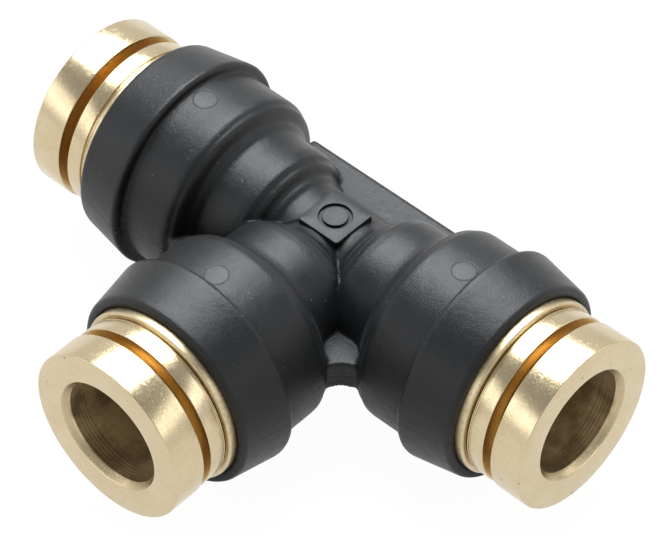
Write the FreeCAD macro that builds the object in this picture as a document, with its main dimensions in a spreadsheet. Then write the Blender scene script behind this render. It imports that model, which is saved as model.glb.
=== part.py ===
import FreeCAD, Part
import os
import re
import Sketcher

# A push to connect union tee for 12.7 mm (1/2 in) plastic air tube, in millimetres.
#
# Every piece is drawn about its port's own axis: the distance from the centre of the tee runs along X and
# the radius along Y. A placement then turns it to its port, and draws the branch's pieces in. The run's
# ports face +X and -X and the branch faces -Y. The origin is under the middle of the tee, on the surface
# that it lies on.

SIZES = {
    # the moulded body's outside, from the centre of the tee outwards
    "hub_radius": 6.7,
    "hub_end": 3.6,
    "neck_start": 8.5,
    "neck_end": 11.3,
    "neck_radius": 9.15,
    "shoulder_start": 15.6,
    "shoulder_end": 21.2,
    "shoulder_radius": 11.95,
    "lip_start": 21.25,
    "lip_foot_radius": 12.64,
    "lip_crest": 21.85,
    "lip_radius": 13.15,
    "lip_round": 0.51,
    "mouth_face": 27.9,
    "mouth_radius": 12.15,
    "mouth_round": 0.5,
    "mouth_chamfer": 0.3,
    # the branch reaches less far than each half of the run, and it is a hair slimmer near the centre, so
    # that the two surfaces cross instead of just touching
    "branch_short": 0.8,
    "branch_ease": 0.05,
    # the moulded body's webs, pad and round mould marks
    "web_thickness": 3.7,
    "web_half_length": 12.9,
    "web_reach": 10.9,
    "gusset_centre": 15.1,
    "gusset_round": 3.7,
    "pad_place": 0.4,
    "pad_length": 5.9,
    "pad_width": 6.0,
    "pad_top": 7.0,
    "ring_mark_radius": 1.95,
    "ring_mark_width": 0.5,
    "ring_mark_depth": 0.3,
    "ejector_place": 19.35,
    "ejector_radius": 1.4,
    "ejector_top": 11.98,
    # the moulded body's inside
    "passage_radius": 4.1,
    "support_seat": 9.4,
    "tube_socket_radius": 6.6,
    "seal_seat": 14.3,
    "seal_groove_end": 17.1,
    "sleeve_seat": 18.6,
    # tube seal and the spacer that backs it
    "seal_radius": 7.55,
    "seal_section": 1.3,
    "spacer_radius": 9.45,
    "spacer_bore": 6.6,
    "spacer_width": 1.4,
    # tube support
    "support_radius": 4.7,
    "support_flange": 1.0,
    "support_flange_radius": 6.55,
    "support_end": 24.0,
    "support_lead": 0.35,
    # cartridge sleeve
    "sleeve_radius": 10.85,
    "sleeve_waist": 10.45,
    "sleeve_bore": 9.7,
    "sleeve_end": 28.95,
    "sleeve_round": 0.3,
    "barb_pitch": 2.4,
    "barb_land": 0.6,
    # retaining cap
    "cap_start": 20.6,
    "cap_mouth_radius": 9.2,
    "cone_start": 21.2,
    "cone_end": 24.3,
    "cone_radius": 8.6,
    "lip_stop": 26.95,
    "cap_bore": 8.16,
    "cap_shoulder": 29.0,
    "ridge_radius": 10.35,
    "ridge_width": 0.25,
    "groove_radius": 10.15,
    "groove_width": 0.25,
    "band_start": 29.55,
    "band_radius": 10.45,
    "band_end": 31.45,
    # release button
    "entry_radius": 6.475,
    "button_face": 36.8,
    "flange_width": 4.1,
    "flange_radius": 10.6,
    "edge_break": 0.15,
    "entry_chamfer": 0.6,
    "entry_lead": 0.85,
    "stem_radius": 8.1,
    "stem_lip_radius": 8.45,
    "stem_lip_width": 1.0,
    "stem_end": 25.9,
    "nose_taper": 0.4,
    # collet
    "collet_start": 19.8,
    "collet_ring_end": 21.2,
    "collet_radius": 9.12,
    "collet_bore": 6.7,
    "finger_cone_end": 24.2,
    "finger_radius": 8.5,
    "finger_end": 25.84,
    "tooth_radius": 6.3,
    "tooth_pitch": 1.2,
    "finger_slots": 6,
    "slot_width": 1.0,
}

PORTS = {"right": 0, "left": 180, "branch": -90}

# the tee's centre, measured from the middle of its outline seen from above
CENTRE_Y = "(button_face - branch_short - lip_radius) / 2"


def size(text):
    """An expression over the sizes' aliases, written for the document."""
    return re.sub(r"[a-z_]+", r"Sizes.\g<0>", text)


def make_sheet(doc):
    sheet = doc.addObject("Spreadsheet::Sheet", "Sizes")
    for row, (alias, number) in enumerate(SIZES.items(), start=1):
        sheet.set(f"A{row}", alias)
        sheet.set(f"B{row}", str(number))
        sheet.setAlias(f"B{row}", alias)
    doc.recompute()


def make_body(doc, name, port=None):
    """An empty body turned to its port, lifted so that the tee lies on its lips at height 0."""
    body = doc.addObject("PartDesign::Body", name)
    body.Label = name
    body.Placement = turned(port)
    body.setExpression(".Placement.Base.y", size(f"{CENTRE_Y} + {drawn_in(port)}"))
    body.setExpression(".Placement.Base.z", size("lip_radius"))
    return body


def turned(port):
    turn = FreeCAD.Rotation(FreeCAD.Vector(0, 0, 1), PORTS.get(port, 0))
    return FreeCAD.Placement(FreeCAD.Vector(), turn)


def drawn_in(port):
    """How far a port's pieces are moved along +Y, towards the centre of the tee."""
    return "branch_short" if port == "branch" else "0"


def origin_feature(body, role):
    return next(o for o in body.Origin.OriginFeatures if o.Role == role)


def make_sketch(body, name, port=None, height=None):
    """A sketch on the body's XY plane, turned to a port and lifted by the expression height."""
    sketch = body.newObject("Sketcher::SketchObject", name)
    sketch.AttachmentSupport = [(origin_feature(body, "XY_Plane"), "")]
    sketch.MapMode = "FlatFace"
    sketch.AttachmentOffset = turned(port)
    sketch.setExpression(".AttachmentOffset.Base.y", size(drawn_in(port)))
    if height:
        sketch.setExpression(".AttachmentOffset.Base.z", size(height))
    return sketch


def hold(sketch, side, end, point):
    """Holds one end of a side at the point's two expressions, measured from the sketch's origin."""
    for axis, text in zip(("DistanceX", "DistanceY"), point):
        number = sketch.evalExpression(size(text))
        if text == "0":
            line = -2 if axis == "DistanceX" else -1
            sketch.addConstraint(Sketcher.Constraint("PointOnObject", side, end, line))
        else:
            index = sketch.addConstraint(Sketcher.Constraint(axis, -1, 1, side, end, number))
            sketch.setExpression(f"Constraints[{index}]", size(text))


def draw_arc(sketch, start, end, radius, centre_side):
    """The short arc from start to end, with its centre on the left or right of the way there.

    Returns its number and which of its ends lies at start and at end."""
    chord = end - start
    left = FreeCAD.Vector(-chord.y, chord.x, 0).normalize()
    reach = (radius**2 - chord.Length**2 / 4) ** 0.5
    if centre_side == "left":
        centre, ends = (start + end) / 2 + left * reach, (1, 2)
    else:
        centre, ends = (start + end) / 2 - left * reach, (2, 1)
    first, last = (start, end) if centre_side == "left" else (end, start)
    x_axis = FreeCAD.Vector(1, 0, 0)
    angles = [(p - centre).getAngle(x_axis) * (1 if p.y >= centre.y else -1) for p in (first, last)]
    circle = Part.Circle(centre, FreeCAD.Vector(0, 0, 1), radius)
    side = sketch.addGeometry(Part.ArcOfCircle(circle, *angles))
    return side, ends


def draw_outline(sketch, points, arcs=None):
    """A closed outline whose corners are held at pairs of expressions.

    arcs maps the number of a side to its radius and the side on which its centre lies."""
    arcs = arcs or {}
    corners = [FreeCAD.Vector(*[sketch.evalExpression(size(text)) for text in point]) for point in points]
    sides = []
    for i, start in enumerate(corners):
        end = corners[(i + 1) % len(corners)]
        if i in arcs:
            text, centre_side = arcs[i]
            radius = sketch.evalExpression(size(text))
            side, ends = draw_arc(sketch, start, end, radius, centre_side)
            index = sketch.addConstraint(Sketcher.Constraint("Radius", side, radius))
            sketch.setExpression(f"Constraints[{index}]", size(text))
        else:
            side, ends = sketch.addGeometry(Part.LineSegment(start, end)), (1, 2)
        sides.append((side, ends))
    for i, (side, ends) in enumerate(sides):
        before, before_ends = sides[i - 1]
        sketch.addConstraint(Sketcher.Constraint("Coincident", before, before_ends[1], side, ends[0]))
        hold(sketch, side, ends[0], points[i])


def turn_outline(body, name, points, arcs=None, kind="Revolution", port=None):
    """Turns an outline a full turn about the sketch's own X axis, adding or cutting."""
    sketch = make_sketch(body, name + "_outline", port)
    draw_outline(sketch, points, arcs)
    feature = body.newObject("PartDesign::" + kind, name)
    feature.Profile = sketch
    feature.ReferenceAxis = (sketch, ["H_Axis"])
    feature.Angle = 360
    return feature


def pad(body, sketch, name, length, symmetric=False):
    feature = body.newObject("PartDesign::Pad", name)
    feature.Profile = sketch
    feature.setExpression("Length", size(length))
    feature.SideType = "Symmetric" if symmetric else "One side"
    return feature


def draw_circle(sketch, place, radius):
    """A circle on the sketch's X axis."""
    centre = FreeCAD.Vector(sketch.evalExpression(size(place)), 0, 0)
    number = sketch.evalExpression(size(radius))
    side = sketch.addGeometry(Part.Circle(centre, FreeCAD.Vector(0, 0, 1), number))
    hold(sketch, side, 3, (place, "0"))
    index = sketch.addConstraint(Sketcher.Constraint("Radius", side, number))
    sketch.setExpression(f"Constraints[{index}]", size(radius))


# The moulded body


def s_bend(low, high):
    """The middle and the radius of two equal arcs that lead smoothly from one level up to the next."""
    rise = f"({high[1]} - {low[1]})"
    run = f"({high[0]} - {low[0]})"
    middle = (f"({low[0]} + {high[0]}) / 2", f"({low[1]} + {high[1]}) / 2")
    return middle, f"({run} * {run} + {rise} * {rise}) / (4 * {rise})"


def ease(port):
    """How much slimmer than the run a port's arm is near the tee's centre."""
    return "branch_ease" if port == "branch" else "0"


def add_arm(body, port):
    """One arm's solid outside: hub, neck, shoulder, raised lip and the taper to the mouth."""
    centre = drawn_in(port)
    hub = ("hub_end", f"hub_radius - {ease(port)}")
    neck_start = ("neck_start", f"neck_radius - {ease(port)}")
    neck_end = ("neck_end", f"neck_radius - {ease(port)}")
    shoulder = ("shoulder_start", "shoulder_radius")
    hub_middle, hub_bend = s_bend(hub, neck_start)
    neck_middle, neck_bend = s_bend(neck_end, shoulder)
    points = [
        (centre, "0"),
        (centre, hub[1]),
        hub,
        hub_middle,
        neck_start,
        neck_end,
        neck_middle,
        shoulder,
        ("shoulder_end", "shoulder_radius"),
        ("lip_start", "lip_foot_radius"),
        ("lip_crest", "lip_radius"),
        ("mouth_face - mouth_round", "mouth_radius"),
        ("mouth_face", "mouth_radius - mouth_round"),
        ("mouth_face", "0"),
    ]
    arcs = {
        2: (hub_bend, "left"),
        3: (hub_bend, "right"),
        5: (neck_bend, "left"),
        6: (neck_bend, "right"),
        9: ("lip_round", "right"),
        11: ("mouth_round", "right"),
    }
    turn_outline(body, port + "_arm", points, arcs, port=port)


def cut_arm(body, port):
    """One arm's stepped inside: air passage, tube socket, seal groove, spacer seat and sleeve seat."""
    centre = drawn_in(port)
    passage = f"passage_radius - {ease(port)}"
    points = [
        (centre, "0"),
        (centre, passage),
        ("support_seat", passage),
        ("support_seat", "tube_socket_radius"),
        ("seal_seat", "tube_socket_radius"),
        ("seal_seat", "seal_radius + seal_section"),
        ("seal_groove_end", "seal_radius + seal_section"),
        ("seal_groove_end", "spacer_radius"),
        ("sleeve_seat", "spacer_radius"),
        ("sleeve_seat", "sleeve_radius"),
        ("mouth_face - mouth_chamfer", "sleeve_radius"),
        ("mouth_face + mouth_chamfer", "sleeve_radius + 2 * mouth_chamfer"),
        ("mouth_face + mouth_chamfer", "0"),
    ]
    turn_outline(body, port + "_inside", points, kind="Groove", port=port)


def add_webs(body):
    """The flat web behind the run and the two gussets beside the branch, centred on the axes' plane."""
    back = make_sketch(body, "back_web_outline")
    draw_outline(
        back,
        [
            ("-web_half_length", "0"),
            ("-web_half_length", "web_reach"),
            ("web_half_length", "web_reach"),
            ("web_half_length", "0"),
        ],
    )
    pad(body, back, "back_web", "web_thickness", symmetric=True)
    corner = "gusset_centre - gusset_round"
    gussets = make_sketch(body, "gusset_outline")
    draw_outline(
        gussets,
        [
            ("-gusset_centre", "0"),
            ("gusset_centre", "0"),
            ("gusset_centre", f"-({corner})"),
            (corner, "-gusset_centre"),
            (f"-({corner})", "-gusset_centre"),
            ("-gusset_centre", f"-({corner})"),
        ],
        {2: ("gusset_round", "left"), 4: ("gusset_round", "left")},
    )
    pad(body, gussets, "gussets", "web_thickness", symmetric=True)


def add_crown_pad(body):
    """The square pad on the crown, with a plain ring sunk into it."""
    outline = make_sketch(body, "crown_pad_outline")
    left, right = "pad_place - pad_length / 2", "pad_place + pad_length / 2"
    draw_outline(
        outline,
        [
            (left, "-pad_width / 2"),
            (left, "pad_width / 2"),
            (right, "pad_width / 2"),
            (right, "-pad_width / 2"),
        ],
    )
    pad(body, outline, "crown_pad", "pad_top")
    ring = make_sketch(body, "ring_mark_outline", height="pad_top")
    for radius in ("ring_mark_radius", "ring_mark_radius - ring_mark_width"):
        draw_circle(ring, "pad_place", radius)
    mark = body.newObject("PartDesign::Pocket", "ring_mark")
    mark.Profile = ring
    mark.setExpression("Length", size("ring_mark_depth"))


def make_tee_body(doc):
    body = make_body(doc, "tee_body")
    for port in PORTS:
        add_arm(body, port)
    add_webs(body)
    add_crown_pad(body)
    for port in PORTS:
        disc = make_sketch(body, port + "_ejector_outline", port)
        draw_circle(disc, "ejector_place", "ejector_radius")
        pad(body, disc, port + "_ejector_mark", "ejector_top")
    doc.recompute()
    solid_volume = body.Shape.Volume
    for port in PORTS:
        cut_arm(body, port)
    doc.recompute()
    check_cut("tee_body", solid_volume, body.Shape.Volume)
    return body


# The pieces of one port


def make_tube_support(doc, port):
    """A thin liner with a flange at the tube's stop and a chamfered lead-in at its outer end."""
    body = make_body(doc, port + "_tube_support", port)
    points = [
        ("support_seat", "passage_radius"),
        ("support_seat", "support_flange_radius"),
        ("support_seat + support_flange", "support_flange_radius"),
        ("support_seat + support_flange", "support_radius"),
        ("support_end - support_lead", "support_radius"),
        ("support_end", "support_radius - support_lead"),
        ("support_end", "passage_radius"),
    ]
    turn_outline(body, "liner", points)
    return body


def make_tube_seal(doc, port):
    """The nitrile O-ring, a torus about the port's axis."""
    ring = doc.addObject("Part::Torus", port + "_tube_seal")
    ring.Label = port + "_tube_seal"
    ring.setExpression("Radius1", size("seal_radius"))
    ring.setExpression("Radius2", size("seal_section"))
    port_turn = turned(port).Rotation
    outward = port_turn.multVec(FreeCAD.Vector(1, 0, 0))
    along_port = FreeCAD.Rotation(FreeCAD.Vector(0, 1, 0), 90)
    ring.Placement = FreeCAD.Placement(FreeCAD.Vector(), port_turn * along_port)
    middle = "(seal_seat + seal_groove_end) / 2"
    place_y = f"{CENTRE_Y} + {drawn_in(port)} + {round(outward.y)} * {middle}"
    ring.setExpression(".Placement.Base.x", size(f"{round(outward.x)} * {middle}"))
    ring.setExpression(".Placement.Base.y", size(place_y))
    ring.setExpression(".Placement.Base.z", size("lip_radius"))
    return ring


def make_seal_spacer(doc, port):
    """A flat ring between the seal and the collet."""
    body = make_body(doc, port + "_seal_spacer", port)
    end = "seal_groove_end + spacer_width"
    points = [
        ("seal_groove_end", "spacer_bore"),
        ("seal_groove_end", "spacer_radius"),
        (end, "spacer_radius"),
        (end, "spacer_bore"),
    ]
    turn_outline(body, "ring", points)
    return body


def make_cartridge_sleeve(doc, port):
    """The brass insert in the body's mouth, with three locking lands and a rounded outer end."""
    body = make_body(doc, port + "_cartridge_sleeve", port)
    points = [("sleeve_seat", "sleeve_bore"), ("sleeve_seat", "sleeve_radius")]
    for land in range(3):
        land_end = f"sleeve_seat + {land} * barb_pitch + barb_land"
        next_land = f"sleeve_seat + {land + 1} * barb_pitch"
        points += [
            (land_end, "sleeve_radius"),
            (land_end, "sleeve_waist"),
            (next_land, "sleeve_radius"),
        ]
    points += [
        ("sleeve_end - sleeve_round", "sleeve_radius"),
        ("sleeve_end", "sleeve_radius - sleeve_round"),
        ("sleeve_end", "sleeve_bore"),
    ]
    turn_outline(body, "insert", points, {len(points) - 3: ("sleeve_round", "right")})
    return body


def make_retaining_cap(doc, port):
    """The band behind the button, with the stem's bore, the chamber for its lip and the collet's cone."""
    body = make_body(doc, port + "_retaining_cap", port)
    ridge_end = "cap_shoulder + ridge_width"
    points = [
        ("cap_start", "cap_mouth_radius"),
        ("cap_start", "sleeve_bore"),
        ("cap_shoulder", "sleeve_bore"),
        ("cap_shoulder", "groove_radius"),
        (ridge_end, "ridge_radius"),
        (ridge_end, "groove_radius"),
        (f"{ridge_end} + groove_width", "groove_radius"),
        (f"{ridge_end} + groove_width", "band_radius - edge_break"),
        ("band_start", "band_radius"),
        ("band_end - edge_break", "band_radius"),
        ("band_end", "band_radius - edge_break"),
        ("band_end", "cap_bore"),
        ("lip_stop", "cap_bore"),
        ("lip_stop", "cone_radius"),
        ("cone_end", "cone_radius"),
        ("cone_start", "cap_mouth_radius"),
    ]
    turn_outline(body, "cap", points)
    return body


def make_release_button(doc, port):
    """The pushed flange and its stem, which ends in a lip that the retaining cap stops."""
    body = make_body(doc, port + "_release_button", port)
    lip_end = "stem_end + stem_lip_width"
    points = [
        ("stem_end", "entry_radius"),
        ("stem_end", "stem_lip_radius - nose_taper"),
        ("stem_end + nose_taper", "stem_lip_radius"),
        (lip_end, "stem_lip_radius"),
        (lip_end, "stem_radius"),
        ("button_face - flange_width", "stem_radius"),
        ("button_face - flange_width", "flange_radius - edge_break"),
        ("button_face - flange_width + edge_break", "flange_radius"),
        ("button_face - edge_break", "flange_radius"),
        ("button_face", "flange_radius - edge_break"),
        ("button_face", "entry_radius + entry_chamfer"),
        ("button_face - entry_lead", "entry_radius"),
    ]
    turn_outline(body, "button", points)
    return body


def make_collet(doc, port):
    """The gripping ring: fingers with a coned outside and two rows of teeth, parted by slots."""
    body = make_body(doc, port + "_collet", port)
    inner_tooth = "finger_end - 2 * tooth_pitch"
    outer_tooth = "finger_end - tooth_pitch"
    points = [
        ("collet_start", "collet_bore"),
        ("collet_start", "collet_radius"),
        ("collet_ring_end", "collet_radius"),
        ("finger_cone_end", "finger_radius"),
        ("finger_end", "finger_radius - edge_break"),
        ("finger_end", "collet_bore"),
        (outer_tooth, "tooth_radius"),
        (outer_tooth, "collet_bore"),
        (inner_tooth, "tooth_radius"),
        (inner_tooth, "collet_bore"),
    ]
    turn_outline(body, "ring", points)
    outline = make_sketch(body, "slot_outline")
    draw_outline(
        outline,
        [
            ("collet_ring_end", "-slot_width / 2"),
            ("collet_ring_end", "slot_width / 2"),
            ("finger_end + slot_width", "slot_width / 2"),
            ("finger_end + slot_width", "-slot_width / 2"),
        ],
    )
    doc.recompute()
    ring_volume = body.Shape.Volume
    slot = body.newObject("PartDesign::Pocket", "slot")
    slot.Profile = outline
    slot.setExpression("Length", size("collet_radius + slot_width"))
    slots = body.newObject("PartDesign::PolarPattern", "slots")
    slots.Originals = [slot]
    slots.Axis = (origin_feature(body, "X_Axis"), [""])
    slots.Angle = 360
    slots.setExpression("Occurrences", size("finger_slots"))
    body.Tip = slots
    doc.recompute()
    check_cut(body.Label, ring_volume, body.Shape.Volume)
    return body


def check_cut(name, before, after):
    if not after < before:
        raise RuntimeError(f"{name}: a cut took nothing away")


def check_document(doc, pieces):
    failed = [o.Name for o in doc.Objects if {"Invalid", "Error"} & set(o.State)]
    failed += [p.Label for p in pieces if p.Shape.isNull() or not p.Shape.isValid()]
    failed += [p.Label for p in pieces if len(p.Shape.Solids) != 1]
    if failed:
        raise RuntimeError("failed objects: " + ", ".join(failed))


def main():
    doc = FreeCAD.newDocument("push_to_connect_tee")
    make_sheet(doc)
    makers = [
        make_tube_support,
        make_tube_seal,
        make_seal_spacer,
        make_cartridge_sleeve,
        make_retaining_cap,
        make_collet,
        make_release_button,
    ]
    pieces = [make_tee_body(doc)]
    pieces += [make(doc, port) for port in PORTS for make in makers]
    doc.recompute()
    check_document(doc, pieces)
    os.makedirs("parts", exist_ok=True)
    for piece in pieces:
        piece.Shape.exportStep(f"parts/{piece.Label}.step")


main()
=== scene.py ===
"""The looks of a push to connect union tee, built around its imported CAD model.

The brass pieces are turned from outlines and the moulded body is meshed from a distance field, so that
its arms, webs and shoulders run into each other as they do in a mould. Lengths are in millimetres about
the centre of the tee until a mesh is made, and s is the distance out along a port's axis.
"""
import math

import bpy
import numpy as np
from mathutils import Matrix, Vector


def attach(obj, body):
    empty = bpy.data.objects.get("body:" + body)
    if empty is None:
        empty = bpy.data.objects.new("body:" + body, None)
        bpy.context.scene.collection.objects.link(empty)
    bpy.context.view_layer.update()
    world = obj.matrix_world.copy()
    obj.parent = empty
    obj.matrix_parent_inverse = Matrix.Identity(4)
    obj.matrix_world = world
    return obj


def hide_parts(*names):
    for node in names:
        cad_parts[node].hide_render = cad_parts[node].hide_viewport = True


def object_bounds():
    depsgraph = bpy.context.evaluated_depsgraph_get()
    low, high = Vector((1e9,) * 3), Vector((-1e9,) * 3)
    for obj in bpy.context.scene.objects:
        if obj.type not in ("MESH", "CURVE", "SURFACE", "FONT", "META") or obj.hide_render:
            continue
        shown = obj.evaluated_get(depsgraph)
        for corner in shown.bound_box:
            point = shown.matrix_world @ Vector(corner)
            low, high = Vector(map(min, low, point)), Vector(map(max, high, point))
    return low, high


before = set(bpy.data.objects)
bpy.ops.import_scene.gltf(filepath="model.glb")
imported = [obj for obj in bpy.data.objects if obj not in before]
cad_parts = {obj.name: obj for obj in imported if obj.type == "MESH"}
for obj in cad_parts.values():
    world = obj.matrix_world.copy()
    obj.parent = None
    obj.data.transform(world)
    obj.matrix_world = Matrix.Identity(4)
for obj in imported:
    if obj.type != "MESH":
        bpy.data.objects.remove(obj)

MM = 0.001
CAD_LOW, CAD_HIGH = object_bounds()
HEIGHT = CAD_HIGH.z - CAD_LOW.z
# the tee's centre is level with the run's axis, half the height in from the back and from the base
CENTRE = Vector(((CAD_LOW.x + CAD_HIGH.x) / 2, CAD_HIGH.y - HEIGHT / 2, CAD_LOW.z + HEIGHT / 2))
PORTS = {"right": 0, "left": 180, "branch": -90}
BRANCH_SHORT = 0.8  # the branch reaches this much less far than each half of the run

# Outside of one arm. Each is carried past the centre by the overlap, so that the arms meet inside each
# other. Flutes are the shallow rounds that the mould's cutter left in the hollows.
OVERLAP = 2.0
HUB_RADIUS, HUB_END = 6.7, 3.6
NECK_RADIUS, NECK_START, NECK_END = 9.15, 8.5, 11.3
SHOULDER_RADIUS, SHOULDER_START, SHOULDER_END = 11.95, 15.6, 21.2
FLUTE_PITCH, FLUTE_DEPTH = 1.1, 0.13
LIP_FOOT, LIP_CREST, LIP_ROUND = (21.25, 12.63), (21.85, 13.13), 0.5
MOUTH_FACE, MOUTH_RADIUS, MOUTH_ROUND = 27.9, 12.15, 0.5
# Inside of one arm
PASSAGE, SUPPORT_SEAT = 4.1, 9.4
SOCKET, SEAL_SEAT = 6.6, 14.3
SEAL_BORE, SEAL_END = 8.85, 17.1
SPACER_BORE, SLEEVE_SEAT = 9.45, 18.6
SLEEVE_RADIUS = 10.85
# Webs, pad and ejector circles
WEB_HALF = 1.85
WEB_HALF_LENGTH, WEB_REACH = 12.9, 10.9
GUSSET_CENTRE, GUSSET_ROUND = 15.1, 3.7
PAD_PLACE, PAD_HALF_X, PAD_HALF_Y, PAD_TOP = 0.4, 2.95, 3.0, 7.0
EJECTOR_PLACE, EJECTOR_RADIUS = 19.35, 1.4
# Brass cartridge
SLEEVE_END, BAND_END, FLANGE_BACK, BUTTON_FACE = 28.95, 31.45, 32.7, 36.8
CAP_BORE, BAND_RADIUS, FLANGE_RADIUS = 8.16, 10.45, 10.6
BORE, LEAD_IN, LEAD_IN_LENGTH = 6.475, 0.6, 0.85


# Meshes


def port_matrix(port):
    """From millimetres about a port's own axis, which runs along X, to the row's frame in metres."""
    start = CENTRE + Vector((0, drawn_in(port) * MM, 0))
    turn = Matrix.Rotation(math.radians(PORTS[port]), 4, "Z")
    return Matrix.Translation(start) @ turn @ Matrix.Scale(MM, 4)


def drawn_in(port):
    return BRANCH_SHORT if port == "branch" else 0


def new_object(name, vertices, faces, matrix, material, sharp_angle=None):
    """A smooth shaded object from millimetre vertices, with edges sharper than sharp_angle kept crisp."""
    mesh = bpy.data.meshes.new(name)
    mesh.from_pydata(vertices, [], faces)
    mesh.transform(matrix)
    mesh.materials.append(material)
    mesh.shade_smooth()
    if sharp_angle:
        mesh.set_sharp_from_angle(angle=math.radians(sharp_angle))
    piece = bpy.data.objects.new(name, mesh)
    bpy.context.scene.collection.objects.link(piece)
    return piece


def rounded(corners, steps=4):
    """A closed outline of (s, r, round) corners, with each corner turned into a small arc."""
    outline = []
    count = len(corners)
    for i, (s, r, radius) in enumerate(corners):
        here = Vector((s, r))
        if radius == 0:
            outline.append(here)
            continue
        before = (Vector(corners[i - 1][:2]) - here).normalized()
        after = (Vector(corners[(i + 1) % count][:2]) - here).normalized()
        half = before.angle(after) / 2
        reach = radius / math.tan(half)
        centre = here + (before + after).normalized() * radius / math.sin(half)
        start, end = here + before * reach - centre, here + after * reach - centre
        turn = start.angle_signed(end)
        for k in range(steps + 1):
            angle = -turn * k / steps
            spun = Matrix.Rotation(angle, 2) @ start
            outline.append(centre + spun)
    return outline


def lathe(name, outline, port, material, segments=192, sharp_angle=35):
    """A closed ring of revolution about the port's axis."""
    vertices, faces = [], []
    count = len(outline)
    for j in range(segments):
        angle = math.tau * j / segments
        vertices += [(p.x, p.y * math.cos(angle), p.y * math.sin(angle)) for p in outline]
    for j in range(segments):
        here, there = j * count, (j + 1) % segments * count
        for i in range(count):
            k = (i + 1) % count
            faces.append((here + i, here + k, there + k, there + i))
    area = sum(a.x * b.y - b.x * a.y for a, b in zip(outline, outline[1:] + outline[:1]))
    if area > 0:
        faces = [face[::-1] for face in faces]
    return new_object(name, vertices, faces, port_matrix(port), material, sharp_angle)


# Distance fields: negative inside, in millimetres


def arc_through(start, end, radius, centre_left, steps=10):
    """Points along the short arc from start to end, without start."""
    a, b = np.array(start), np.array(end)
    chord = b - a
    length = np.hypot(*chord)
    left = np.array((-chord[1], chord[0])) / length
    lift = math.sqrt(radius**2 - length**2 / 4) * (1 if centre_left else -1)
    centre = (a + b) / 2 + left * lift
    first, last = (math.atan2(*(p - centre)[::-1]) for p in (a, b))
    turn = (last - first + math.pi) % math.tau - math.pi
    angles = first + turn * np.arange(1, steps + 1) / steps
    return [tuple(centre + radius * np.array((math.cos(t), math.sin(t)))) for t in angles]


def s_bend(low, high):
    """Points along two equal arcs that lead smoothly from one level up to the next."""
    run, rise = high[0] - low[0], high[1] - low[1]
    radius = (run**2 + rise**2) / (4 * rise)
    middle = ((low[0] + high[0]) / 2, (low[1] + high[1]) / 2)
    return arc_through(low, middle, radius, True, 16) + arc_through(middle, high, radius, False, 16)


def fluted(outline):
    """The outline with the shallow rounds that the mould's cutter left, fading out at both ends."""
    start, end = outline[0][0], outline[-1][0]
    flutes = []
    for s, r in outline:
        fade = math.sin(math.pi * (s - start) / (end - start)) ** 2
        flutes.append((s, r + FLUTE_DEPTH * fade * math.sin(math.tau * (s - start) / FLUTE_PITCH)))
    return flutes


def outside_outline():
    """Half section of one arm, carried past the centre so that the arms overlap there."""
    outline = [(-OVERLAP, 0), (-OVERLAP, HUB_RADIUS), (HUB_END, HUB_RADIUS)]
    outline += fluted(s_bend((HUB_END, HUB_RADIUS), (NECK_START, NECK_RADIUS)))
    outline += [(NECK_END, NECK_RADIUS)]
    outline += fluted(s_bend((NECK_END, NECK_RADIUS), (SHOULDER_START, SHOULDER_RADIUS)))
    outline += [(SHOULDER_END, SHOULDER_RADIUS), LIP_FOOT]
    outline += arc_through(LIP_FOOT, LIP_CREST, LIP_ROUND, False)
    outline += [(MOUTH_FACE - MOUTH_ROUND, MOUTH_RADIUS)]
    outline += arc_through(outline[-1], (MOUTH_FACE, MOUTH_RADIUS - MOUTH_ROUND), MOUTH_ROUND, False)
    return outline + [(MOUTH_FACE, 0)]


def inside_outline():
    """Half section of one arm's hollow, from the air passage out past the mouth."""
    past = MOUTH_FACE + 1
    return [
        (-OVERLAP, 0), (-OVERLAP, PASSAGE), (SUPPORT_SEAT, PASSAGE), (SUPPORT_SEAT, SOCKET),
        (SEAL_SEAT, SOCKET), (SEAL_SEAT, SEAL_BORE), (SEAL_END, SEAL_BORE), (SEAL_END, SPACER_BORE),
        (SLEEVE_SEAT, SPACER_BORE), (SLEEVE_SEAT, SLEEVE_RADIUS), (past, SLEEVE_RADIUS), (past, 0),
    ]


class Section:
    """Signed distance to a half section, tabulated finely over (s, r) and read back by interpolation."""

    STEP = 0.04
    LOW = (-3.0, 0.0)
    HIGH = (30.0, 16.0)

    def __init__(self, outline):
        s = np.arange(self.LOW[0], self.HIGH[0], self.STEP)
        r = np.arange(self.LOW[1], self.HIGH[1], self.STEP)
        ss, rr = np.meshgrid(s, r, indexing="ij")
        distance = np.full(ss.shape, np.inf)
        inside = np.zeros(ss.shape, bool)
        for (s0, r0), (s1, r1) in zip(outline, outline[1:] + outline[:1]):
            ds, dr = s1 - s0, r1 - r0
            if ds == dr == 0:
                continue
            if r0 > 0 or r1 > 0:
                t = np.clip(((ss - s0) * ds + (rr - r0) * dr) / (ds * ds + dr * dr), 0, 1)
                distance = np.minimum(distance, np.hypot(ss - s0 - t * ds, rr - r0 - t * dr))
            if dr:
                crosses = (r0 <= rr) != (r1 <= rr)
                inside ^= crosses & (ss < s0 + (rr - r0) * ds / dr)
        self.table = np.where(inside, -distance, distance)

    def __call__(self, s, r):
        i = np.clip((s - self.LOW[0]) / self.STEP, 0, self.table.shape[0] - 1.001)
        j = np.clip((r - self.LOW[1]) / self.STEP, 0, self.table.shape[1] - 1.001)
        i0, j0 = i.astype(int), j.astype(int)
        fi, fj = i - i0, j - j0
        t = self.table
        low = t[i0, j0] * (1 - fi) + t[i0 + 1, j0] * fi
        high = t[i0, j0 + 1] * (1 - fi) + t[i0 + 1, j0 + 1] * fi
        return low * (1 - fj) + high * fj


def blend_min(a, b, width):
    """The union of two fields with a fillet about that wide."""
    h = np.maximum(width - np.abs(a - b), 0) / width
    return np.minimum(a, b) - h * h * width / 4


def blend_max(a, b, width):
    return -blend_min(-a, -b, width)


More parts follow.
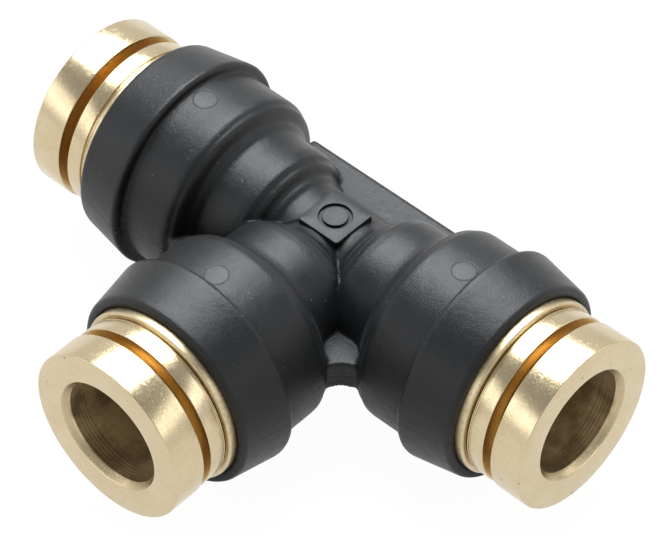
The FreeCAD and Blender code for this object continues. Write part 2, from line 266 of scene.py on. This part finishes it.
def make_body_field():
    outside, inside = Section(outside_outline()), Section(inside_outline())
    crease, web_fillet, edge, rim = 0.12, 0.25, 0.15, 0.3

    def field(x, y, z):
        run_r, branch_r = np.hypot(y, z), np.hypot(x, z)
        solid = blend_min(outside(np.abs(x), run_r), outside(BRANCH_SHORT - y, branch_r), crease)
        back = np.maximum(blend_max(np.abs(x) - WEB_HALF_LENGTH, y - WEB_REACH, edge), -y)
        corner = GUSSET_ROUND - np.hypot(np.abs(x) - GUSSET_CENTRE, -y - GUSSET_CENTRE)
        square = np.maximum(np.maximum(np.abs(x), -y) - GUSSET_CENTRE, y)
        plan = np.minimum(back, np.maximum(square, corner))
        webs = blend_max(plan, np.abs(z) - WEB_HALF, edge)
        solid = blend_min(solid, webs, web_fillet)
        hollow = np.minimum(inside(np.abs(x), run_r), inside(BRANCH_SHORT - y, branch_r))
        return blend_max(solid, -hollow, rim)

    return field


CORNERS = [np.array((i, j, k)) for i in (0, 1) for j in (0, 1) for k in (0, 1)]


def surface_net(field, low, high, step):
    """Vertices and quads of the field's zero surface, one vertex in each grid cell that it crosses."""
    axes = [np.arange(a, b + step, step) for a, b in zip(low, high)]
    values = field(*np.meshgrid(*axes, indexing="ij"))
    inside = values < 0
    shape = np.array(values.shape) - 1
    count = sum(inside[tuple(slice(c[k], c[k] + shape[k]) for k in range(3))].astype(int) for c in CORNERS)
    cells = np.argwhere((count > 0) & (count < 8))
    numbers = np.full(shape, -1)
    numbers[tuple(cells.T)] = np.arange(len(cells))
    place, crossings = np.zeros(cells.shape), np.zeros(len(cells))
    for corner in CORNERS:
        for k in range(3):
            if corner[k]:
                continue
            other = corner + np.eye(3, dtype=int)[k]
            a, b = values[tuple((cells + corner).T)], values[tuple((cells + other).T)]
            crossed = (a < 0) != (b < 0)
            t = np.where(crossed, a / np.where(crossed, a - b, 1), 0)
            place += np.where(crossed[:, None], corner + t[:, None] * (other - corner), 0)
            crossings += crossed
    vertices = np.array(low) + (cells + place / crossings[:, None]) * step
    quads = []
    for k in range(3):
        u, v = (k + 1) % 3, (k + 2) % 3
        first = [slice(None)] * 3
        second = [slice(None)] * 3
        first[k], second[k] = slice(0, -1), slice(1, None)
        a, b = inside[tuple(first)], inside[tuple(second)]
        edges = np.argwhere(a != b)
        edges = edges[(edges[:, u] > 0) & (edges[:, v] > 0)]
        outward = a[tuple(edges.T)]
        ring = []
        for du, dv in ((-1, -1), (0, -1), (0, 0), (-1, 0)):
            cell = edges.copy()
            cell[:, u] += du
            cell[:, v] += dv
            ring.append(numbers[tuple(cell.T)])
        ring = np.stack(ring, axis=1)
        quads.append(np.where(outward[:, None], ring, ring[:, ::-1]))
    return vertices, np.concatenate(quads)


def settle(field, vertices, quads, rounds=4):
    """Evens out the vertices and draws them back onto the field's surface."""
    reach, pull = 0.02, 0.6
    for _ in range(rounds):
        total, count = np.zeros(vertices.shape), np.zeros(len(vertices))
        for k in range(4):
            np.add.at(total, quads[:, k], vertices[quads[:, k - 1]] + vertices[quads[:, k - 3]])
            np.add.at(count, quads[:, k], 2)
        vertices = vertices * (1 - pull) + total / count[:, None] * pull
        for _ in range(3):
            value = field(*vertices.T)
            slope = np.stack(
                [
                    field(*(vertices + reach * d).T) - field(*(vertices - reach * d).T)
                    for d in np.eye(3)
                ],
                axis=1,
            ) / (2 * reach)
            size = np.maximum((slope**2).sum(axis=1), 0.2)
            vertices = vertices - slope * (value / size)[:, None]
    return vertices


# Materials


class Nodes:
    """Shorthand for building a node material."""

    def __init__(self, name):
        self.material = bpy.data.materials.new(name)
        self.material.use_nodes = True
        self.tree = self.material.node_tree
        self.shader = self.tree.nodes["Principled BSDF"]
        self.place = self.add("ShaderNodeTexCoord").outputs["Object"]

    def add(self, kind, inputs=(), **settings):
        node = self.tree.nodes.new(kind)
        for key, value in settings.items():
            setattr(node, key, value)
        for key, value in dict(inputs).items():
            self.feed(node.inputs[key], value)
        return node

    def feed(self, socket, value):
        if isinstance(value, bpy.types.NodeSocket):
            self.tree.links.new(value, socket)
        else:
            socket.default_value = value

    def set(self, **values):
        for key, value in values.items():
            self.feed(self.shader.inputs[key.replace("_", " ")], value)

    def math(self, operation, a, b=0.0, clamp=False):
        node = self.add("ShaderNodeMath", {0: a, 1: b}, operation=operation, use_clamp=clamp)
        return node.outputs[0]

    def noise(self, scale, detail=4.0, roughness=0.55, distortion=0.0):
        """Noise with features about 1 / scale across, scale being per millimetre."""
        node = self.add(
            "ShaderNodeTexNoise",
            {
                "Vector": self.place,
                "Scale": scale / MM,
                "Detail": detail,
                "Roughness": roughness,
                "Distortion": distortion,
            },
        )
        return node.outputs["Fac"]

    def cells(self, scale):
        """Scattered points about 1 / scale millimetres apart: distance to the nearest, and its colour."""
        return self.add("ShaderNodeTexVoronoi", {"Vector": self.place, "Scale": scale / MM}).outputs

    def ramp(self, value, low, high, to_low=0.0, to_high=1.0):
        node = self.add(
            "ShaderNodeMapRange",
            {"Value": value, "From Min": low, "From Max": high, "To Min": to_low, "To Max": to_high},
        )
        return node.outputs["Result"]

    def mix(self, factor, a, b):
        node = self.add("ShaderNodeMix", data_type="RGBA")
        self.feed(node.inputs["Factor"], factor)
        self.feed(node.inputs["A"], (*a, 1) if isinstance(a, tuple) else a)
        self.feed(node.inputs["B"], (*b, 1) if isinstance(b, tuple) else b)
        return node.outputs["Result"]

    def product(self, *values):
        result = values[0]
        for value in values[1:]:
            result = self.math("MULTIPLY", result, value)
        return result

    def bump(self, depth, *layers):
        """Bump from (height, share) layers, where a height of 1 with a share of 1 stands for depth mm."""
        total = 0.0
        for height, share in layers:
            total = self.math("ADD", total, self.math("MULTIPLY", height, share))
        return self.add("ShaderNodeBump", {"Height": total, "Distance": depth * MM}).outputs["Normal"]

    def about_centre(self):
        """X, Y and Z about the tee's centre, in millimetres."""
        shifted = self.add("ShaderNodeVectorMath", {0: self.place, 1: CENTRE}, operation="SUBTRACT")
        in_mm = self.add(
            "ShaderNodeVectorMath", {0: shifted.outputs[0], "Scale": 1 / MM}, operation="SCALE"
        )
        split = self.add("ShaderNodeSeparateXYZ", {0: in_mm.outputs[0]})
        return [split.outputs[k] for k in range(3)]

    def port_axes(self, port):
        """s and r about a port's own axis, in millimetres."""
        x, y, z = self.about_centre()
        along, across = (y, x) if port == "branch" else (x, y)
        s = self.math("ADD", self.math("ABSOLUTE", along), drawn_in(port))
        squares = self.math("ADD", self.math("MULTIPLY", across, across), self.math("MULTIPLY", z, z))
        return s, self.math("SQRT", squares)


def scaled(colour, *shares):
    """The colour with each of its channels taken down to a share of itself."""
    return tuple(c * k for c, k in zip(colour, shares))


def brass(name, port, colour=(0.64, 0.533, 0.352), roughness=0.15, turning=0.005, stain=0.1):
    """Turned brass: fine rings round the port's axis, satin grain, stains, handling nicks and pits, with
    painted shade in the gap behind the button and down the bore, and a painted mottled reflection deep in
    the bore."""
    n = Nodes(name)
    s, r = n.port_axes(port)
    along_cut = n.add("ShaderNodeCombineXYZ", {0: n.math("ADD", s, r)}).outputs[0]
    rings = n.add(
        "ShaderNodeTexNoise", {"Vector": along_cut, "Scale": 7.0, "Detail": 4.0, "Roughness": 0.7}
    ).outputs["Fac"]
    cloud = n.noise(0.3, 3)
    mottle = n.noise(1.6, 4, 0.65)
    grain = n.noise(4.0, 4, 0.7)
    handled = n.ramp(n.noise(0.3, 2), 0.47, 0.6)
    nicks = n.math("MULTIPLY", n.ramp(n.cells(1.5)["Distance"], 0.2, 0.04), handled, clamp=True)
    pits = n.ramp(n.cells(0.28)["Distance"], 0.055, 0.03)
    stains = n.ramp(n.noise(2.6, 5, 0.75), 0.52, 0.68, 0.0, stain)

    in_gap = n.product(
        n.ramp(r, BAND_RADIUS - 0.1, BAND_RADIUS - 0.45),
        n.ramp(s, BAND_END - 0.25, BAND_END - 0.05),
        n.ramp(s, FLANGE_BACK + 0.3, FLANGE_BACK + 0.1),
    )
    in_bore = n.product(n.ramp(r, 7.1, 7.0), n.ramp(s, BUTTON_FACE + 0.05, BUTTON_FACE - 0.1))
    past_lead_in = n.product(n.ramp(r, 6.75, 6.55), n.ramp(s, BUTTON_FACE - 0.5, BUTTON_FACE - 0.9))

    tint = n.mix(n.ramp(cloud, 0.35, 0.7), colour, scaled(colour, 0.94, 0.92, 0.86))
    tint = n.mix(n.ramp(mottle, 0.42, 0.7, 0.0, 0.55), tint, scaled(colour, 0.9, 0.87, 0.8))
    tint = n.mix(stains, tint, scaled(colour, 0.35, 0.35, 0.35))
    # painted shade: the gap behind the button, a recess between band and flange, darkened to a deep orange
    # brown
    tint = n.mix(in_gap, tint, (0.62, 0.43, 0.17))
    # painted shade down the bore, streaked lighter and darker along the turning rings as painted
    # reflection
    tint = n.mix(n.product(in_bore, n.ramp(rings, 0.35, 0.65, 0.2, 0.9)), tint, (0.4, 0.31, 0.18))
    # painted reflection and shade deep in the bore: a mottle of light tan and dark brown in place of the
    # inner tube's reflection
    painted_mottle = n.ramp(n.math("ADD", cloud, n.math("MULTIPLY", mottle, 0.25)), 0.48, 0.75)
    tint = n.mix(past_lead_in, tint, n.mix(painted_mottle, (0.76, 0.6, 0.37), (0.33, 0.25, 0.14)))
    tint = n.mix(n.math("MULTIPLY", pits, 0.75), tint, scaled(colour, 0.35, 0.35, 0.35))

    wear = n.ramp(cloud, 0.3, 0.7, roughness - 0.02, roughness + 0.04)
    wear = n.math("ADD", wear, n.ramp(mottle, 0.35, 0.7, 0.0, 0.06))
    wear = n.math("ADD", wear, n.ramp(grain, 0.35, 0.65, -0.04, 0.06))
    wear = n.math("ADD", wear, n.math("MULTIPLY", n.math("MAXIMUM", past_lead_in, in_gap), 0.15))
    normal = n.bump(
        1.0, (rings, turning), (grain, 0.009), (mottle, 0.003), (n.product(rings, in_bore), 0.03),
        (nicks, -0.016), (pits, -0.06),
    )
    metal = n.ramp(past_lead_in, 0.0, 1.0, 1.0, 0.8)
    n.set(Base_Color=tint, Metallic=metal, Roughness=wear, Normal=normal)
    return n.material


def nylon():
    """Charcoal glass filled nylon: moulded grain, pale fibre specks and scuffs, the mould's parting line
    and its ejector circles. Its shine is turned down by ambient occlusion as painted shade in its hollows
    and underneath, and most in the creases between the arms."""
    n = Nodes("glass_filled_nylon")
    x, y, z = n.about_centre()
    grain = n.noise(6.0, 5, 0.65)
    fine = n.noise(14.0, 2)
    coarse = n.noise(0.7, 4)
    flow = n.noise(0.16, 3, distortion=0.6)
    points = n.cells(1.5)
    chance = n.add("ShaderNodeSeparateColor", {0: points["Color"]}).outputs[0]
    chosen = n.ramp(chance, 0.87, 0.9)
    specks = n.math("MULTIPLY", n.ramp(points["Distance"], 0.13, 0.05), chosen, clamp=True)
    rubbed = n.ramp(coarse, 0.5, 0.66)
    scuffs = n.math("MULTIPLY", n.ramp(n.noise(2.2, 5, 0.75), 0.6, 0.72), rubbed, clamp=True)
    parting = n.ramp(n.math("ABSOLUTE", z), 0.1, 0.04)

    run_s, down = n.math("ABSOLUTE", x), n.math("MULTIPLY", y, -1.0)
    circles, discs = [], []
    for along, across, place in ((run_s, y, EJECTOR_PLACE), (down, x, EJECTOR_PLACE - BRANCH_SHORT)):
        ds = n.math("SUBTRACT", along, place)
        d = n.math("SQRT", n.math("ADD", n.math("MULTIPLY", ds, ds), n.math("MULTIPLY", across, across)))
        above = n.math("GREATER_THAN", z, SHOULDER_RADIUS - 1.2)
        ring = n.ramp(n.math("ABSOLUTE", n.math("SUBTRACT", d, EJECTOR_RADIUS)), 0.12, 0.02)
        circles.append(n.math("MULTIPLY", ring, above))
        discs.append(n.math("MULTIPLY", n.ramp(d, EJECTOR_RADIUS, EJECTOR_RADIUS - 0.1), above))
    circle, disc = n.math("MAXIMUM", *circles), n.math("MAXIMUM", *discs)

    base = n.mix(n.ramp(flow, 0.3, 0.7), (0.0050, 0.0055, 0.0061), (0.0074, 0.0081, 0.0088))
    base = n.mix(n.math("MULTIPLY", disc, 0.8), base, (0.026, 0.027, 0.028))
    base = n.mix(n.math("MULTIPLY", scuffs, 0.65), base, (0.045, 0.047, 0.05))
    base = n.mix(n.math("MULTIPLY", specks, 0.7), base, (0.2, 0.2, 0.19))
    base = n.mix(n.math("MULTIPLY", parting, 0.4), base, (0.004, 0.004, 0.004))
    rough = n.math("ADD", n.ramp(coarse, 0.3, 0.7, 0.32, 0.39), n.ramp(grain, 0.3, 0.7, -0.04, 0.04))
    normal = n.bump(
        1.0, (grain, 0.036), (coarse, 0.05), (fine, 0.012), (specks, 0.01), (scuffs, 0.01),
        (parting, -0.06), (circle, -0.03),
    )
    # painted shade: ambient occlusion turns the shine down in the hollows and underneath, and the crease
    # mask turns it down most between the arms, except on the webs and the pad
    painted_shade_occlusion = n.add("ShaderNodeAmbientOcclusion", {"Distance": 25 * MM}, samples=8).outputs["AO"]
    off_crease = n.ramp(n.math("ABSOLUTE", n.math("SUBTRACT", run_s, down)), 0.25, 0.6, 0.1, 1.0)
    on_web = n.ramp(n.math("ABSOLUTE", z), WEB_HALF + 0.5, WEB_HALF)
    on_pad = n.ramp(z, PAD_TOP - 0.8, PAD_TOP - 0.6)
    clear = n.math("MAXIMUM", off_crease, n.math("MAXIMUM", on_web, on_pad))
    n.set(
        Base_Color=base,
        Roughness=rough,
        Normal=normal,
        Specular_IOR_Level=n.product(n.ramp(painted_shade_occlusion, 0.3, 0.8, 0.03, 0.3), clear),
        Sheen_Weight=0.03,
        Sheen_Roughness=0.4,
    )
    return n.material


def nitrile():
    n = Nodes("nitrile_rubber")
    grain = n.noise(5.0, 4)
    base = n.mix(n.ramp(grain, 0.35, 0.65), (0.012, 0.012, 0.012), (0.022, 0.021, 0.02))
    rough = n.ramp(grain, 0.3, 0.7, 0.38, 0.55)
    n.set(Base_Color=base, Roughness=rough, Normal=n.bump(0.008, (grain, 1.0)))
    return n.material


def paper():
    """The plain pale floor."""
    n = Nodes("pale_floor")
    tone = n.noise(0.02, 2)
    n.set(
        Base_Color=n.mix(tone, (0.03, 0.03, 0.03), (0.04, 0.04, 0.04)),
        Roughness=0.9,
        Emission_Color=(1, 1, 1, 1),
        Emission_Strength=0.97,
        Specular_IOR_Level=0.1,
    )
    return n.material


# Pieces


def make_tee_body(material):
    field = make_body_field()
    step = 0.32
    margin = 2 * step
    reach, side = MOUTH_FACE + margin, LIP_CREST[1] + margin
    vertices, quads = surface_net(field, (-reach, -reach, -side), (reach, side, side), step)
    vertices = settle(field, vertices, quads)
    matrix = Matrix.Translation(CENTRE) @ Matrix.Scale(MM, 4)
    body = new_object("moulded_tee_body", vertices.tolist(), quads.tolist(), matrix, material)
    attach(body, "fitting")
    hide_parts("tee_body")


def make_crown_pad(material):
    """The square pad on the crown, its edges broken, with a plain ring sunk into its top."""
    ring_outer, ring_inner, ring_depth = 1.95, 1.45, 0.3
    edge, ring_edge, foot = 0.12, 0.04, 3.5

    def square_ring(grow, height, count=64):
        ring = []
        for k in range(count):
            angle = math.tau * (k + 0.5) / count
            c, s = math.cos(angle), math.sin(angle)
            reach = 1 / max(abs(c), abs(s))
            ring.append(((PAD_HALF_X + grow) * c * reach, (PAD_HALF_Y + grow) * s * reach, height))
        return ring

    def round_ring(radius, height, count=64):
        angles = [math.tau * (k + 0.5) / count for k in range(count)]
        return [(radius * math.cos(a), radius * math.sin(a), height) for a in angles]

    mesh_rings = [
        square_ring(0, foot),
        square_ring(0, PAD_TOP - edge),
        square_ring(-edge * 0.3, PAD_TOP - edge * 0.3),
        square_ring(-edge, PAD_TOP),
        round_ring(ring_outer + ring_edge, PAD_TOP),
        round_ring(ring_outer, PAD_TOP - ring_edge),
        round_ring(ring_outer, PAD_TOP - ring_depth),
        round_ring(ring_inner, PAD_TOP - ring_depth),
        round_ring(ring_inner, PAD_TOP - ring_edge),
        round_ring(ring_inner - ring_edge, PAD_TOP),
    ]
    count = len(mesh_rings[0])
    vertices = [v for ring in mesh_rings for v in ring]
    faces = [tuple(range(count))[::-1]]
    for i in range(len(mesh_rings) - 1):
        for k in range(count):
            a, b = i * count + k, i * count + (k + 1) % count
            faces.append((a, b, b + count, a + count))
    top = (len(mesh_rings) - 1) * count
    faces.append(tuple(range(top, top + count)))
    place = CENTRE + Vector((PAD_PLACE * MM, 0, 0))
    matrix = Matrix.Translation(place) @ Matrix.Scale(MM, 4)
    pad = new_object("crown_pad", vertices, faces, matrix, material, 30)
    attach(pad, "fitting")


def make_release_button(port, material):
    """Flange, stem and stem lip, with the last few turning marks as real grooves in the entry bore."""
    stem_end, stem = 25.9, 8.1
    lip_start, lip_end, lip = 26.3, 26.9, 8.45
    corners = [
        (stem_end, BORE, 0.1), (stem_end, 8.05, 0.1), (lip_start, lip, 0.1), (lip_end, lip, 0.1),
        (lip_end, stem, 0), (FLANGE_BACK, stem, 0.15), (FLANGE_BACK, FLANGE_RADIUS, 0.14),
        (BUTTON_FACE, FLANGE_RADIUS, 0.16), (BUTTON_FACE, BORE + LEAD_IN, 0.1),
        (BUTTON_FACE - LEAD_IN_LENGTH, BORE, 0.12),
    ]
    outline = rounded(corners)
    grooves, first_groove, pitch, width, depth = 5, BUTTON_FACE - 1.2, 0.42, 0.16, 0.008
    for k in range(grooves):
        s = first_groove - k * pitch
        outline += [
            Vector((s, BORE)),
            Vector((s - width * 0.3, BORE + depth)),
            Vector((s - width * 0.7, BORE + depth)),
            Vector((s - width, BORE)),
        ]
    button = lathe(f"{port}_release_button_turned", outline, port, material)
    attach(button, f"{port}_button")
    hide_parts(f"{port}_release_button")


def make_retaining_cap(port, material):
    """The polished band with its fine ridge, and the cone that closes the collet."""
    start, cone_start, cone_end, stop = 20.6, 21.2, 24.3, 26.95
    rest, ridge_end, band_start = SLEEVE_END + 0.05, SLEEVE_END + 0.29, SLEEVE_END + 0.57
    inner, mouth, chamber, groove, ridge = 9.7, 9.2, 8.6, 10.15, 10.35
    corners = [
        (start, mouth, 0.05), (start, inner, 0.05), (rest, inner, 0), (rest, groove, 0.05),
        (ridge_end, ridge, 0.08), (ridge_end + 0.03, groove, 0.03), (band_start - 0.05, groove, 0.03),
        (band_start, BAND_RADIUS - 0.03, 0.1), (BAND_END, BAND_RADIUS, 0.12), (BAND_END, CAP_BORE, 0.08),
        (stop, CAP_BORE, 0.05), (stop, chamber, 0.05), (cone_end, chamber, 0.1),
        (cone_start, mouth, 0.1),
    ]
    cap = lathe(f"{port}_retaining_cap_turned", rounded(corners), port, material)
    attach(cap, "fitting")
    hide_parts(f"{port}_retaining_cap")


def make_cartridge_sleeve(port, material):
    """The insert in the body's mouth, with its locking lands and a round on its visible end."""
    waist, bore, lands, pitch, land = 10.45, 9.7, 3, 2.4, 0.6
    corners = [(SLEEVE_SEAT, bore, 0.1), (SLEEVE_SEAT, SLEEVE_RADIUS, 0.05)]
    for k in range(lands):
        here = SLEEVE_SEAT + k * pitch
        corners += [
            (here + land, SLEEVE_RADIUS, 0.04), (here + land, waist, 0.04),
            (here + pitch, SLEEVE_RADIUS, 0.04),
        ]
    corners += [(SLEEVE_END, SLEEVE_RADIUS, 0.3), (SLEEVE_END, bore, 0.08)]
    sleeve = lathe(f"{port}_cartridge_sleeve_turned", rounded(corners, steps=6), port, material)
    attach(sleeve, "fitting")
    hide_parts(f"{port}_cartridge_sleeve")


def dress(node, material):
    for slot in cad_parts[node].material_slots:
        slot.material = material


def make_pieces():
    plastic, rubber = nylon(), nitrile()
    make_tee_body(plastic)
    make_crown_pad(plastic)
    for port in PORTS:
        band = brass(f"{port}_band_brass", port, roughness=0.17, turning=0.014, stain=0.2)
        shell = brass(f"{port}_shell_brass", port, (0.62, 0.51, 0.33), 0.3, turning=0.008, stain=0.6)
        make_release_button(port, brass(f"{port}_button_brass", port, roughness=0.18))
        make_retaining_cap(port, band)
        make_cartridge_sleeve(port, shell)
        inner = brass(f"{port}_inner_brass", port, (0.68, 0.52, 0.3), 0.3)
        for name in ("collet", "tube_support", "seal_spacer"):
            dress(f"{port}_{name}", inner)
        dress(f"{port}_tube_seal", rubber)


# Camera, light and floor

VIEW_AZIMUTH, VIEW_ELEVATION, VIEW_DISTANCE = 42.58, 47.13, 530.0
LENS, SENSOR = 255.4, 36.0
# how far right of and below the tee's centre the middle of the picture lies
AIM_RIGHT, AIM_DOWN = 0.145, 1.13


def direction(azimuth, elevation):
    """Towards something seen at that azimuth, counted from -Y towards +X, and elevation."""
    a, e = math.radians(azimuth), math.radians(elevation)
    return Vector((math.sin(a) * math.cos(e), -math.cos(a) * math.cos(e), math.sin(e)))


def make_camera():
    camera = bpy.data.objects.new("camera", bpy.data.cameras.new("camera"))
    bpy.context.scene.collection.objects.link(camera)
    camera.data.lens, camera.data.sensor_width = LENS, SENSOR
    towards = direction(VIEW_AZIMUTH, VIEW_ELEVATION)
    turn = towards.to_track_quat("Z", "Y")
    right, up = turn @ Vector((1, 0, 0)), turn @ Vector((0, 1, 0))
    aim = CENTRE + (right * AIM_RIGHT - up * AIM_DOWN) * MM
    camera.rotation_euler = turn.to_euler()
    camera.location = aim + towards * VIEW_DISTANCE * MM
    camera.data.clip_start, camera.data.clip_end = 0.01, 20
    bpy.context.scene.camera = camera


def make_softbox(name, towards, distance, size, radiance, colour, facing=None):
    """A rectangular light of that size in metres, as bright everywhere as the radiance given."""
    light = bpy.data.lights.new(name, "AREA")
    light.shape = "RECTANGLE"
    light.size, light.size_y = size
    light.energy, light.color = radiance * math.pi * size[0] * size[1], colour
    softbox = bpy.data.objects.new(name, light)
    softbox.location = CENTRE + towards.normalized() * distance
    softbox.rotation_euler = (facing or towards).to_track_quat("Z", "Y").to_euler()
    bpy.context.scene.collection.objects.link(softbox)


def make_world():
    """A pale room: bright walls down to the floor and a dim ceiling."""
    world = bpy.data.worlds.new("studio")
    world.use_nodes = True
    tree = world.node_tree
    background = tree.nodes["Background"]
    place = tree.nodes.new("ShaderNodeTexCoord")
    split = tree.nodes.new("ShaderNodeSeparateXYZ")
    ramp = tree.nodes.new("ShaderNodeValToRGB")
    tree.links.new(place.outputs["Generated"], split.inputs[0])
    tree.links.new(split.outputs["Z"], ramp.inputs[0])
    tree.links.new(ramp.outputs["Color"], background.inputs["Color"])
    stops = ((0.0, 0.85), (0.42, 0.85), (0.55, 0.46), (1.0, 0.36))
    elements = ramp.color_ramp.elements
    while len(elements) < len(stops):
        elements.new(0.5)
    for element, (place_on_ramp, value) in zip(elements, stops):
        element.position = place_on_ramp
        element.color = (value, value, value, 1)
    bpy.context.scene.world = world


def make_stage():
    half = 3.0
    corners = [(-half, -half, 0), (half, -half, 0), (half, half, 0), (-half, half, 0)]
    to_floor = Matrix.Translation((0, 0, CAD_LOW.z))
    floor = new_object("floor", corners, [(0, 1, 2, 3)], to_floor, paper())
    make_world()
    white, cool, up = (0.98, 0.99, 1.0), (0.93, 0.965, 1.0), Vector((0, 0, 1))
    overhead = Vector((-0.25, 0.236, 0.55))
    make_softbox("overhead_softbox", overhead, 0.648, (0.53, 0.54), 13.2, cool, facing=up)
    make_softbox("front_card", Vector((-0.46, -0.79, 0.39)), 0.8, (1.2, 0.32), 1.3, white)
    make_softbox("side_card", Vector((0.716, 0.504, 0.484)), 0.8, (1.2, 0.28), 1.4, white)
    bpy.context.scene.view_settings.view_transform = "Standard"


make_camera()
make_pieces()
make_stage()
